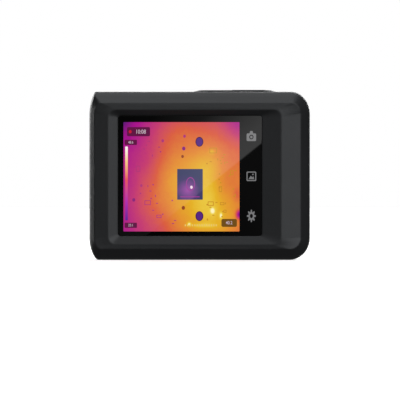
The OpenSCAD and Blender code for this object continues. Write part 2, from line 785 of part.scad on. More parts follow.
module button_bezel() {
    mid_x = (plinth_l + plinth_r) / 2;
    top_l = plinth_l + plinth_ramp_l;
    top_r = plinth_r - plinth_ramp_r;
    color([0.1, 0.1, 0.11]) difference() {
        union() {
            translate([mid_x, mid_y, plinth_z]) linear_extrude(0.76)
                pill(plinth_r - plinth_l - 0.1, plinth_d - 0.1);
            hull() {
                translate([mid_x, mid_y, body_h - 0.05]) linear_extrude(0.05)
                    pill(plinth_r - plinth_l - 0.1, plinth_d - 0.1, $fn = 32);
                translate([(top_l + top_r) / 2, mid_y, plinth_top - 0.05]) linear_extrude(0.05)
                    pill(top_r - top_l, plinth_d - 1.2, $fn = 32);
            }
        }
        translate([button_x, mid_y, plinth_z - 1]) linear_extrude(5)
            pill(button_w + 2 * gap, button_d + 2 * gap);
        translate([6, mid_y, plinth_z - 1]) cylinder(r = 0.82, h = 5);
    }
}

module capture_button() {
    color([0.13, 0.13, 0.14]) translate([button_x, mid_y, 0]) union() {
        translate([0, 0, plinth_z - flange_t / 2]) linear_extrude(cap_top - plinth_z + flange_t / 2)
            pill(button_w, button_d);
        translate([0, 0, plinth_z - flange_t]) linear_extrude(flange_t)
            pill(button_w + 1.4, button_d + 1.1);
        translate([0, 0, actuator_top]) cylinder(r = 1.4, h = plinth_z - actuator_top);
    }
}

module switch_actuator() {
    color([0.9, 0.9, 0.9]) translate([button_x, mid_y, switch_z + 0.7])
        cylinder(r = 1.1, h = actuator_top - switch_z - 0.7);
}

module tact_switch() {
    color([0.2, 0.2, 0.22]) difference() {
        translate([button_x - 2.6, mid_y - 2.6, switch_z]) cube([5.2, 5.2, switch_h]);
        translate([button_x, mid_y, switch_z + 0.1]) cylinder(r = 1.2, h = switch_h);
    }
}

module button_board() {
    color([0.05, 0.3, 0.15])
        block([14, mid_y - 4, shelf_z + shelf_t], [36, mid_y + 3.6, switch_z]);
}

module button_flex() {
    y = board_face_y;
    color([0.85, 0.5, 0.15]) union() {
        block([-4, y, switch_z], [15.5, y + 3.6, switch_z + 0.2]);
        block([-4, y, 71.5], [0.5, y + 0.2, switch_z + 0.1]);
    }
}

module status_light_pipe() {
    color([0.85, 0.9, 0.85]) translate([6, mid_y, switch_z + 0.4])
        cylinder(r = 0.78, h = plinth_top - switch_z - 0.4);
}

// ---------- port door ----------

module port_door() {
    y0 = socket_y - door_w / 2;
    color([0.09, 0.09, 0.1]) difference() {
        union() {
            block([-side_x, y0, pin_at[1]], [-side_x + door_t, y0 + door_w, pin_at[1] + door_h]);
            rod(pin_at, knuckle_r, y0, y0 + door_w);
        }
        rod(pin_at, pin_r + 0.05, y0 - 1, y0 + door_w + 1);
        for (k = [0 : 2])      // grip grooves under the nail notch
            rod([-side_x - 0.15, pin_at[1] + door_h - 3 - 1.3 * k], 0.45, y0 + 1.2, y0 + door_w - 1.2);
    }
}

module port_door_seal() {
    color([0.2, 0.2, 0.22]) bar(-side_x + door_t, socket_x - 0.1)
        translate([socket_y, socket_z]) rotate(90) pill(8.9, 3.2);
}

module port_door_pin() {
    color([0.8, 0.8, 0.82]) rod(pin_at, pin_r, socket_y - door_w / 2 - 1.1, socket_y + door_w / 2 + 1.1);
}

// ---------- fixings on the outside ----------

module tripod_insert() {
    color([0.78, 0.62, 0.3]) translate([0, mid_y, insert_z0]) difference() {
        cylinder(r = insert_r, h = insert_z1 - insert_z0);
        translate([0, 0, -1]) cylinder(r = thread_r, h = insert_z1 + 2);
    }
}

module strap_bar() {
    color([0.75, 0.75, 0.77]) rod(strap_at, strap_r, mid_y - 3.8, mid_y + 3.8);
}

rear_cover();
front_cover();
case_seal();
case_screws();
cover_glass();
glass_adhesive();
lcd_panel();
lcd_backlight();
display_flex();
mid_frame();
frame_screws();
main_board();
board_screws();
board_chips();
processor_shield();
usb_socket_shell();
usb_socket_tongue();
battery();
battery_tape();
battery_leads();
battery_plug();
core_board();
core_connector();
ir_detector();
detector_window();
nuc_base();
nuc_blade();
nuc_rotor();
nuc_coil();
nuc_yoke();
core_housing();
core_screws();
core_mount_screws();
lens_barrel();
lens_front_element();
lens_spacer();
lens_rear_element();
lens_retaining_ring();
lens_o_ring();
lens_bezel();
camera_module();
camera_window();
torch_led();
torch_lens();
front_flex();
grip_pad();
button_bezel();
capture_button();
switch_actuator();
tact_switch();
button_board();
button_flex();
status_light_pipe();
port_door();
port_door_seal();
port_door_pin();
tripod_insert();
strap_bar();
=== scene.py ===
"""A pocket thermal imaging camera on a pale floor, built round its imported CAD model."""

import math
import random

import bmesh
import bpy
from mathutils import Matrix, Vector


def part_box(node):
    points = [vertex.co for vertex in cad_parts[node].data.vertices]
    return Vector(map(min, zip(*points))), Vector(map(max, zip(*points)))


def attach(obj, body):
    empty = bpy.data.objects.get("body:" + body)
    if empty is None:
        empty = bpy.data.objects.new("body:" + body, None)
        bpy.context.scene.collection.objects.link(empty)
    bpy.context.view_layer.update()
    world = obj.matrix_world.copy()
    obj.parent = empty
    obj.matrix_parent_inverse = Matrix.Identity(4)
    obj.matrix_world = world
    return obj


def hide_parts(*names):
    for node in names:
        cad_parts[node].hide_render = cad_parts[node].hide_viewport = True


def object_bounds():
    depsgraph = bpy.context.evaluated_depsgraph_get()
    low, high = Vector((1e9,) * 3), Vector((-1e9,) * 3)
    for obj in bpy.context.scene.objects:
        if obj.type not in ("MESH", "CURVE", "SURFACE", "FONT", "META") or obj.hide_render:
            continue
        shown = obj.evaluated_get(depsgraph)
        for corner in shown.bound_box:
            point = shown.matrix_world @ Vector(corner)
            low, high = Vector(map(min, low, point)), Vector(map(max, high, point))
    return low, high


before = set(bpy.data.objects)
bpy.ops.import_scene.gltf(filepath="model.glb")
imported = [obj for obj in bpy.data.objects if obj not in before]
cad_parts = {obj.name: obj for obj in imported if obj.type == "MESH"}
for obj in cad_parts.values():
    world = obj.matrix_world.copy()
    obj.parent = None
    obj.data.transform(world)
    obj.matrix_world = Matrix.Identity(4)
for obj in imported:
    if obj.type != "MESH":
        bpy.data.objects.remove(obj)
cad_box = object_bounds()

MM = 0.001
BODY = "camera"

# The view, in metres: distance to the object, width of the picture there, and where its middle looks
CAMERA_DISTANCE = 2.0
VIEW_WIDTH = 0.2015
AIM = Vector((0.0002, cad_box[0].y, 0.03025))

GLASS_LO, GLASS_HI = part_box("cover_glass")
GLASS_FRONT = GLASS_LO.y

# Edges of the lit part of the display: left, right, bottom and top
PICTURE_L, PICTURE_R = -38.4 * MM, 20.1 * MM
PICTURE_B, PICTURE_T = 14.4 * MM, 69.5 * MM

# Everything printed or lit lies this far in front of the surface under it
LAYER = 0.006 * MM

# Roughness and refraction of the cover glass
POLISH = 0.010
GLASS_IOR = 1.5

# Two points on the glass that the edge of the soft reflection runs through
GLOSS_A = Vector((31.1 * MM, 0, 58.6 * MM))
GLOSS_B = Vector((-25.2 * MM, 0, 13.4 * MM))

# Glow of the floor, and of the room as a light
FLOOR_GLOW = 0.52
ROOM_GLOW = 0.10

# Soft suns: name, strength, width in degrees, and the direction in which each stands
SUNS = (
    ("overhead", 0.76, 60, (0.0, 0.1, 1.0)),
    ("key", 0.78, 42, (0.54, -0.87, 0.28)),
    ("fill", 0.07, 30, (-0.30, -0.90, 0.15)),
    ("front", 0.25, 60, (0.05, -0.6, 0.75)),
    ("back", 1.9, 36, (0.30, 0.87, 0.36)),
    ("back_left", 1.1, 30, (-0.5, 0.84, 0.25)),
)


# ---------- materials ----------

class Shader:
    """A new material with a Principled shader, and short ways to add nodes to it."""

    def __init__(self, name, colour, roughness, **sockets):
        self.material = bpy.data.materials.new(name)
        self.material.use_nodes = True
        self.material.diffuse_color = (*colour, 1)
        self.tree = self.material.node_tree
        self.shader = self.tree.nodes["Principled BSDF"]
        self.shader.inputs["Base Color"].default_value = (*colour, 1)
        self.shader.inputs["Roughness"].default_value = roughness
        for socket, value in sockets.items():
            self.shader.inputs[socket.replace("_", " ")].default_value = value
        self.place = self.tree.nodes.new("ShaderNodeTexCoord").outputs["Object"]

    def node(self, kind, **settings):
        """A new node of a kind, with its settings."""
        made = self.tree.nodes.new("ShaderNode" + kind)
        for key, value in settings.items():
            setattr(made, key, value)
        return made

    def join(self, output, node, socket):
        self.tree.links.new(output, node.inputs[socket])

    def math(self, operation, a, b=0.0, clamp=False):
        """One step of arithmetic on two values, each a number or a node's output."""
        made = self.node("Math", operation=operation, use_clamp=clamp)
        for socket, value in enumerate((a, b)):
            if isinstance(value, (int, float)):
                made.inputs[socket].default_value = value
            else:
                self.join(value, made, socket)
        return made.outputs[0]

    def stretched(self, scale):
        """The object's own coordinates, scaled by three numbers."""
        mapping = self.node("Mapping")
        mapping.inputs["Scale"].default_value = scale
        self.join(self.place, mapping, "Vector")
        return mapping.outputs[0]

    def noise(self, size_mm, detail=2.0, vector=None):
        """Cloudy noise whose patches are about size_mm across."""
        made = self.node("TexNoise")
        made.inputs["Scale"].default_value = 1 / (size_mm * MM)
        made.inputs["Detail"].default_value = detail
        self.join(vector or self.place, made, "Vector")
        return made.outputs["Fac"]

    def ramp(self, value, stops):
        """A colour ramp over value, whose stops are (position, colour)."""
        made = self.node("ValToRGB")
        band = made.color_ramp
        while len(band.elements) < len(stops):
            band.elements.new(0.5)
        for element, (position, colour) in zip(band.elements, stops):
            element.position = position
            element.color = (*colour, 1)
        self.join(value, made, "Fac")
        return made.outputs["Color"]

    def between(self, value, low, high, start=0.0, end=1.0):
        """Spreads a value that runs from start to end, from low to high."""
        made = self.node("MapRange")
        made.inputs["From Min"].default_value = start
        made.inputs["From Max"].default_value = end
        made.inputs["To Min"].default_value = low
        made.inputs["To Max"].default_value = high
        self.join(value, made, "Value")
        return made.outputs[0]

    def eased(self, edge_mm):
        """The surface direction with edges eased by edge_mm."""
        made = self.node("Bevel", samples=4)
        made.inputs["Radius"].default_value = edge_mm * MM
        return made.outputs[0]

    def bump(self, height, depth_mm, over=None):
        """Relief from height, over the piece's own surface direction or a given one."""
        made = self.node("Bump")
        if over:
            self.join(over, made, "Normal")
        made.inputs["Distance"].default_value = depth_mm * MM
        self.join(height, made, "Height")
        self.join(made.outputs[0], self.shader, "Normal")

    def worn_edges(self, eased):
        """Up to 1 along edges, where hands rub, and 0 on open surfaces."""
        turn = self.node("VectorMath", operation="DOT_PRODUCT")
        self.join(eased, turn, 0)
        self.join(self.node("NewGeometry").outputs["True Normal"], turn, 1)
        sharpness = 14.0
        away = self.math("SUBTRACT", 1.0, turn.outputs["Value"])
        bend = self.math("MULTIPLY", away, sharpness, clamp=True)
        return self.math("MULTIPLY", bend, self.noise(5, 4))

    def distance_along(self, direction, start):
        """How far the surface lies from the point start, measured along a direction."""
        offset = self.node("VectorMath", operation="SUBTRACT")
        self.join(self.place, offset, 0)
        offset.inputs[1].default_value = start
        along = self.node("VectorMath", operation="DOT_PRODUCT")
        self.join(offset.outputs[0], along, 0)
        along.inputs[1].default_value = direction
        return along.outputs["Value"]

    def colour(self, output):
        self.join(output, self.shader, "Base Color")

    def roughness(self, output):
        self.join(output, self.shader, "Roughness")

    def glow(self, output):
        self.join(output, self.shader, "Emission Color")


def tinted(colour, factor):
    """A colour made lighter or darker by a factor."""
    return tuple(min(1.0, channel * factor) for channel in colour)


def moulded(name, colour, roughness, grain_mm=0.35, depth_mm=0.012, edge_mm=0.0, **sockets):
    """Moulded plastic or rubber: a spark-eroded grain, with slow changes of tone and gloss."""
    s = Shader(name, colour, roughness, **sockets)
    grain = s.noise(grain_mm, 3)
    slow = s.noise(14, 4)
    shine = s.math("MULTIPLY", s.math("ADD", slow, grain), 0.5)
    if edge_mm:
        eased = s.eased(edge_mm)
        s.bump(grain, depth_mm, over=eased)
        shine = s.math("SUBTRACT", shine, s.worn_edges(eased))
    else:
        s.bump(grain, depth_mm)
    s.colour(s.ramp(slow, [(0.3, tinted(colour, 0.86)), (0.7, tinted(colour, 1.14))]))
    s.roughness(s.between(shine, roughness - 0.07, roughness + 0.07))
    return s.material


def metal(name, colour, roughness, stretch=(1, 1, 30), grain_mm=1.2):
    """Metal with fine lines, which lie closest together along the axis with the largest stretch."""
    s = Shader(name, colour, roughness, Metallic=1.0)
    lines = s.noise(grain_mm, 3, s.stretched(stretch))
    s.bump(lines, 0.004)
    s.colour(s.ramp(lines, [(0.25, tinted(colour, 0.88)), (0.75, tinted(colour, 1.08))]))
    s.roughness(s.between(lines, roughness - 0.06, roughness + 0.1))
    return s.material


def coated_lens(name, colour, sheen):
    """A polished infrared element under a coloured coating."""
    s = Shader(name, colour, 0.07, Metallic=1.0, Coat_Weight=0.7, Coat_Roughness=0.03)
    facing = s.node("LayerWeight")
    facing.inputs["Blend"].default_value = 0.35
    s.colour(s.ramp(facing.outputs["Facing"], [(0.0, colour), (0.55, sheen), (1.0, tinted(sheen, 1.6))]))
    s.roughness(s.between(s.noise(3, 3), 0.05, 0.1))
    return s.material


def clear_optic(name, colour, roughness):
    """A moulded clear part, with the faint ripple of its tool."""
    s = Shader(name, colour, roughness, Transmission_Weight=0.85, IOR=1.49)
    rings = s.noise(1.4, 2)
    s.bump(rings, 0.02)
    s.roughness(s.between(rings, roughness, roughness + 0.06))
    return s.material


def circuit_board(name, mask):
    """Solder mask with copper tracks under it and plated pads showing through."""
    s = Shader(name, mask, 0.32, Coat_Weight=0.3)
    # Tracks are the gaps between bricks about 1 mm high
    tracks = s.node("TexBrick", offset=0.5)
    tracks.inputs["Scale"].default_value = 260
    tracks.inputs["Mortar Size"].default_value = 0.03
    tracks.inputs["Color1"].default_value = (*mask, 1)
    tracks.inputs["Color2"].default_value = (*tinted(mask, 0.8), 1)
    tracks.inputs["Mortar"].default_value = (*tinted(mask, 1.9), 1)
    flat = s.node("Mapping")
    flat.inputs["Rotation"].default_value = (math.radians(90), 0, 0)
    s.join(s.place, flat, "Vector")
    s.join(flat.outputs[0], tracks, "Vector")
    # Pads are the middles of cells about 3 mm across
    pads = s.node("TexVoronoi", distance="CHEBYCHEV")
    pads.inputs["Scale"].default_value = 330
    s.join(s.place, pads, "Vector")
    pad_reach = 0.16
    mix = s.node("Mix", data_type="RGBA")
    s.join(s.math("LESS_THAN", pads.outputs["Distance"], pad_reach), mix, 0)
    s.join(tracks.outputs["Color"], mix, 6)
    gold = (0.62, 0.42, 0.14, 1)
    mix.inputs[7].default_value = gold
    s.colour(mix.outputs[2])
    s.bump(tracks.outputs["Fac"], 0.03)
    return s.material


def striped(name, colour, line, pitch_mm):
    """Flexible circuit film with printed tracks running along it."""
    s = Shader(name, colour, 0.3, Coat_Weight=0.4)
    bands_per_unit = 20 / math.tau
    wave = s.node("TexWave", bands_direction="Z")
    wave.inputs["Scale"].default_value = 1 / (pitch_mm * MM * bands_per_unit)
    wave.inputs["Distortion"].default_value = 0.0
    s.join(s.place, wave, "Vector")
    s.colour(s.ramp(wave.outputs["Fac"], [(0.42, colour), (0.5, line)]))
    s.bump(wave.outputs["Fac"], 0.01)
    s.roughness(s.between(s.noise(2), 0.25, 0.4))
    return s.material


def foil(name, colour):
    """Crinkled laminated foil, as on a pouch cell."""
    s = Shader(name, colour, 0.35, Metallic=0.85)
    # Creases run round patches about 6 mm across
    creases = s.node("TexVoronoi", feature="DISTANCE_TO_EDGE")
    creases.inputs["Scale"].default_value = 160
    s.join(s.place, creases, "Vector")
    s.bump(creases.outputs["Distance"], 0.1)
    s.roughness(s.between(s.noise(3), 0.25, 0.45))
    s.colour(s.ramp(s.noise(8), [(0.3, tinted(colour, 0.9)), (0.7, colour)]))
    return s.material


def black_glass():
    """The cover glass with black print behind it: deep black, wiped clean, faintly uneven in gloss."""
    s = Shader("black_glass", (0.0016, 0.0016, 0.0018), POLISH, IOR=GLASS_IOR)
    s.roughness(s.between(s.noise(9, 3), POLISH * 0.6, POLISH * 1.4))
    s.colour(s.ramp(s.noise(20), [(0.3, (0.0013, 0.0013, 0.0015)), (0.7, (0.002, 0.002, 0.0022))]))
    return s.material


def screen(name):
    """A shader for what the display shows: it glows, behind the same gloss as the glass."""
    return Shader(name, (0.001, 0.001, 0.001), POLISH, IOR=GLASS_IOR, Emission_Strength=1.0)


def lit(name, colour):
    """A mark on the display in one colour, slightly uneven."""
    s = screen(name)
    s.glow(s.ramp(s.noise(0.9, 2), [(0.3, tinted(colour, 0.93)), (0.7, colour)]))
    return s.material


# ---------- the heat picture ----------

# The picture's colours, from cold to hot
HEAT_COLOURS = [
    (0.00, (0.020, 0.006, 0.090)),
    (0.14, (0.080, 0.010, 0.180)),
    (0.28, (0.390, 0.006, 0.260)),
    (0.42, (0.560, 0.045, 0.160)),
    (0.55, (0.700, 0.110, 0.050)),
    (0.68, (0.770, 0.270, 0.030)),
    (0.80, (0.780, 0.440, 0.020)),
    (0.90, (0.850, 0.640, 0.070)),
    (1.00, (1.000, 0.920, 0.550)),
]

# Warm and cool patches: middle x and z, and reach along x and z, in millimetres, and strength
WARMTH = [
    (4.0, 33.0, 30.0, 40.0, 0.56),
    (7.0, 24.0, 13.0, 16.0, 0.09),
    (-15.0, 42.0, 8.0, 18.0, 0.09),
    (-14.0, 66.0, 12.0, 10.0, 0.07),
    (2.5, 47.0, 8.0, 7.0, 0.06),
    (-27.0, 30.0, 8.0, 14.0, 0.07),
    (19.0, 69.0, 7.0, 8.0, -0.13),
    (13.0, 38.0, 6.0, 13.0, -0.13),
    (-42.0, 72.0, 8.0, 9.0, -0.16),
    (20.0, 23.0, 1.6, 2.2, -0.45),
    (19.0, 33.0, 2.2, 4.0, -0.09),
    # parts that glow
    (6.6, 24.8, 1.2, 1.5, 0.20),
    (10.8, 22.4, 0.8, 1.6, 0.22),
    (-5.3, 18.1, 1.0, 1.0, 0.24),
    (1.2, 17.4, 7.0, 1.2, 0.10),
    (6.2, 54.6, 1.4, 1.3, 0.12),
]
BASE_HEAT = 0.24


def heat_picture():
    """A heat field made of soft patches, coloured from violet to yellow."""
    s = screen("heat_picture")
    axes = s.node("SeparateXYZ")
    s.join(s.place, axes, 0)
    heat = BASE_HEAT
    for x, z, reach_x, reach_z, strength in WARMTH:
        across = s.math("MULTIPLY", s.math("SUBTRACT", axes.outputs["X"], x * MM), 1 / (reach_x * MM))
        up = s.math("MULTIPLY", s.math("SUBTRACT", axes.outputs["Z"], z * MM), 1 / (reach_z * MM))
        far = s.math("ADD", s.math("MULTIPLY", across, across), s.math("MULTIPLY", up, up))
        patch = s.math("EXPONENT", s.math("MULTIPLY", far, -1.0))
        heat = s.math("ADD", s.math("MULTIPLY", patch, strength), heat)
    for size_mm, amount in ((7.0, 0.05), (1.5, 0.035)):
        ripple = s.math("SUBTRACT", s.noise(size_mm, 2), 0.5)
        heat = s.math("ADD", heat, s.math("MULTIPLY", ripple, amount))
    s.glow(s.ramp(heat, HEAT_COLOURS))
    return s.material


def heat_bar_material(bottom, top):
    """The colour scale beside the picture, from cold at the bottom to hot at the top."""
    s = screen("heat_bar")
    axes = s.node("SeparateXYZ")
    s.join(s.place, axes, 0)
    height = s.math("MULTIPLY", s.math("SUBTRACT", axes.outputs["Z"], bottom), 1 / (top - bottom))
    s.glow(s.ramp(height, [
        (0.0, (0.10, 0.02, 0.30)),
        (0.25, (0.42, 0.03, 0.42)),
        (0.55, (0.80, 0.10, 0.10)),
        (0.8, (0.95, 0.60, 0.25)),
        (1.0, (1.0, 0.97, 0.93)),
    ]))
    return s.material


# ---------- mesh helpers ----------

def piece(name, bm, material, body=BODY):
    """Turns a bmesh into an object that moves with a body. With body=None it is part of the stage."""
    bmesh.ops.recalc_face_normals(bm, faces=bm.faces)
    mesh = bpy.data.meshes.new(name)
    bm.to_mesh(mesh)
    bm.free()
    mesh.shade_flat()
    mesh.materials.append(material)
    made = bpy.data.objects.new(name, mesh)
    bpy.context.scene.collection.objects.link(made)
    if body:
        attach(made, body)
    return made


def rounded_outline(l, r, b, t, radius, steps=8):
    """Points round a rectangle with rounded corners, as (x, z). l, r, b and t are its four edges."""
    points = []
    corners = ((r - radius, t - radius, 0), (l + radius, t - radius, 90),
               (l + radius, b + radius, 180), (r - radius, b + radius, 270))
    for x, z, first in corners:
        for k in range(steps + 1):
            angle = math.radians(first + 90 * k / steps)
            points.append((x + radius * math.cos(angle), z + radius * math.sin(angle)))
    return points


def oval_outline(x, z, rx, rz, steps=32):
    """Points round an oval, as (x, z)."""
    turn = 2 * math.pi / steps
    return [(x + rx * math.cos(turn * k), z + rz * math.sin(turn * k)) for k in range(steps)]


def flat_shape(name, outlines, y, material):
    """A flat print facing the user, from an outer outline and any holes in it."""
    curve = bpy.data.curves.new(name, "CURVE")
    curve.dimensions = "2D"
    curve.fill_mode = "BOTH"
    for outline in outlines:
        spline = curve.splines.new("POLY")
        spline.points.add(len(outline) - 1)
        for point, (x, z) in zip(spline.points, outline):
            point.co = (x, z, 0, 1)
        spline.use_cyclic_u = True
    flat_from_curve(name, curve, y, material)


def flat_from_curve(name, curve, y, material):
    """Meshes a filled flat curve and stands it up in the plane of the screen, at depth y."""
    source = bpy.data.objects.new(name + "_source", curve)
    bpy.context.scene.collection.objects.link(source)
    bpy.context.view_layer.update()
    found = source.evaluated_get(bpy.context.evaluated_depsgraph_get())
    mesh = bpy.data.meshes.new_from_object(found)
    bm = bmesh.new()
    bm.from_mesh(mesh)
    bpy.data.objects.remove(source)
    bpy.data.curves.remove(curve)
    bpy.data.meshes.remove(mesh)
    for vertex in bm.verts:
        vertex.co = (vertex.co.x, y, vertex.co.y)
    made = piece(name, bm, material)
    if made.data.polygons and made.data.polygons[0].normal.y > 0:
        made.data.flip_normals()
    return made


def number(name, text, x, z, height, y, material):
    """Digits centred on x and z, of a given height, a little bolder and narrower than the plain font."""
    narrow = 0.82
    curve = bpy.data.curves.new(name, "FONT")
    curve.body = text
    curve.align_x = "CENTER"
    curve.align_y = "CENTER"
    curve.size = height * 1.38      # the font's digits are 1 / 1.38 of its size
    curve.offset = height * 0.012
    made = flat_from_curve(name, curve, y, material)
    for vertex in made.data.vertices:
        vertex.co.x = x + vertex.co.x * narrow
        vertex.co.z += z


# ---------- the display ----------

def glass_plate(material):
    """The cover glass: a thin slab with rounded corners and a polished edge."""
    edge = 0.12 * MM
    radius = 1.2 * MM
    l, r, b, t = GLASS_LO.x, GLASS_HI.x, GLASS_LO.z, GLASS_HI.z
    layers = [
        (GLASS_HI.y, 0.0),
        (GLASS_LO.y + edge, 0.0),
        (GLASS_LO.y + edge * 0.3, edge * 0.3),
        (GLASS_LO.y, edge),
    ]
    bm = bmesh.new()
    rings = []
    for y, inset in layers:
        outline = rounded_outline(l + inset, r - inset, b + inset, t - inset, radius - inset)
        rings.append([bm.verts.new((x, y, z)) for x, z in outline])
    count = len(rings[0])
    for back, front in zip(rings, rings[1:]):
        for k in range(count):
            bm.faces.new((back[k], back[(k + 1) % count], front[(k + 1) % count], front[k]))
    bm.faces.new(rings[0])
    bm.faces.new(rings[-1])
    made = piece("glass_plate", bm, material)
    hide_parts("cover_glass")


def build_display():
    """The glass, then each layer of what is shown on it, from the back to the front."""
    glass_plate(black_glass())
    y = GLASS_FRONT - LAYER
    picture = rounded_outline(PICTURE_L, PICTURE_R, PICTURE_B, PICTURE_T, 0.3 * MM)
    flat_shape("heat_picture", [picture], y, heat_picture())
    cool_chip(y - LAYER)
    hot_board(y - LAYER)
    overlays(y - LAYER)
    touch_keys(y)


def chip_glow(x, z):
    """A cool slate square that is warmer round the point x, z."""
    s = screen("chip_glow")
    offset = s.node("VectorMath", operation="SUBTRACT")
    s.join(s.place, offset, 0)
    offset.inputs[1].default_value = (x, GLASS_FRONT, z)
    distance = s.node("VectorMath", operation="LENGTH")
    s.join(offset.outputs[0], distance, 0)
    reach = s.math("ADD", s.math("MULTIPLY", distance.outputs["Value"], 1 / (9 * MM)),
                   s.math("MULTIPLY", s.noise(4, 2), 0.2))
    s.glow(s.ramp(reach, [
        (0.10, (0.330, 0.075, 0.370)),
        (0.45, (0.170, 0.055, 0.250)),
        (0.75, (0.060, 0.045, 0.150)),
        (1.00, (0.045, 0.050, 0.130)),
    ]))
    return s.material


def cool_chip(y):
    """The square chip in the middle of the board, with its ring, its hot spot and its foot."""
    ring = lit("chip_ring", (0.330, 0.045, 0.300))
    spot = lit("chip_spot", (0.950, 0.720, 0.850))
    l, r, b, t = -11.3 * MM, 1.6 * MM, 30.4 * MM, 45.9 * MM
    x, z = -4.6 * MM, 38.3 * MM
    flat_shape("chip", [rounded_outline(l, r, b, t, 0.25 * MM)], y, chip_glow(x - 1.5 * MM, z - 3 * MM))
    foot = rounded_outline(l + 1.6 * MM, r - 1.6 * MM, b + 1.2 * MM, b + 1.7 * MM, 0.1 * MM)
    flat_shape("chip_foot", [foot], y - LAYER, ring)
    ovals = [oval_outline(x, z, 2.3 * MM, 3.5 * MM), oval_outline(x, z, 1.9 * MM, 3.0 * MM)]
    flat_shape("chip_ring", ovals, y - LAYER, ring)
    hot_spot = oval_outline(x + 0.5 * MM, z - 1.6 * MM, 0.65 * MM, 0.8 * MM)
    flat_shape("chip_hot_spot", [hot_spot], y - 2 * LAYER, spot)


def hot_board(y):
    """The warm circuit board round the chip: mounting holes, large components and small parts."""
    hole = lit("hole_violet", (0.095, 0.022, 0.230))
    hole_rim = lit("hole_rim", (0.060, 0.005, 0.060))
    rust = lit("part_rust", (0.300, 0.060, 0.020))
    plum = lit("part_plum", (0.260, 0.020, 0.200))
    faint = lit("part_faint", (0.440, 0.040, 0.190))
    dull = lit("part_dull", (0.600, 0.270, 0.020))
    pale = lit("part_pale", (0.850, 0.580, 0.160))
    x = -0.1 * MM
    for k, z in enumerate((59.6 * MM, 22.1 * MM)):
        flat_shape(f"board_hole_rim_{k}", [oval_outline(x, z, 2.0 * MM, 2.5 * MM)], y, hole_rim)
        flat_shape(f"board_hole_{k}", [oval_outline(x, z, 1.6 * MM, 2.1 * MM)], y - LAYER, hole)
    # Round parts: middle x and z, and radius, in millimetres
    dots = {"plum": (plum, ((-8.0, 56.2, 1.0), (-33.2, 30.3, 0.9))),
            "rust": (rust, ((-8.6, 52.2, 0.8), (-8.2, 26.3, 1.0))),
            "faint": (faint, ((-18.6, 60.1, 0.8), (-7.6, 62.4, 0.8), (-29.4, 37.5, 0.7)))}
    for name, (material, places) in dots.items():
        outlines = [oval_outline(x * MM, z * MM, radius * MM * 0.85, radius * MM) for x, z, radius in places]
        flat_shape("board_dots_" + name, outlines, y, material)
    # Outlined parts: middle x and z, width and height, in millimetres
    packages = {"warm": (dull, ((5.6, 28.4, 3.0, 2.2), (11.4, 28.4, 2.2, 1.5), (10.5, 35.8, 1.6, 3.0),
                                (6.8, 55.2, 3.8, 2.8), (16.2, 44.0, 1.6, 2.4), (12.8, 24.6, 1.5, 1.5))),
                "cool": (faint, ((-26.2, 28.9, 3.2, 2.4), (-31.0, 46.0, 2.2, 3.0), (-20.5, 22.0, 2.6, 1.6)))}
    for name, (material, places) in packages.items():
        outlines = [outline for place in places for outline in package_outline(*place)]
        flat_shape("board_packages_" + name, outlines, y, material)
    pin_l, pin_pitch, pin_w = -7.5 * MM, 1.2 * MM, 0.6 * MM
    starts = [pin_l + pin_pitch * k for k in range(14)]
    pins = [rounded_outline(x, x + pin_w, 17.0 * MM, 18.0 * MM, 0.15 * MM, 2) for x in starts]
    flat_shape("board_pins", pins, y, pale)
    warm_zones = ((3, 13, 19, 29), (9, 18, 30, 46), (2, 14, 48, 54))
    cool_zones = ((-34, -22, 26, 40), (-30, -20, 52, 60), (-24, -12, 18, 30))
    small_parts("board_parts_warm", warm_zones, 27, y, dull)
    small_parts("board_parts_cool", cool_zones, 18, y, faint)


def package_outline(x, z, w, h, line=0.35):
    """The rectangular outline of a component round x, z, in millimetres."""
    outlines = []
    for inset in (0, line):
        l, r = (x - w / 2 + inset) * MM, (x + w / 2 - inset) * MM
        b, t = (z - h / 2 + inset) * MM, (z + h / 2 - inset) * MM
        outlines.append(rounded_outline(l, r, b, t, 0.2 * MM, 2))
    return outlines


def small_parts(name, zones, count, y, material):
    """Small components strewn over zones of the board: each is a left, right, bottom and top in mm."""
    chance = random.Random(name)
    outlines = []
    for k in range(count):
        l, r, b, t = zones[k % len(zones)]
        x = chance.uniform(l, r) * MM
        z = chance.uniform(b, t) * MM
        w, h = chance.choice(((0.45, 1.1), (1.1, 0.45), (0.7, 0.7)))
        outlines.append(rounded_outline(x, x + w * MM, z, z + h * MM, 0.08 * MM, 2))
    flat_shape(name, outlines, y, material)


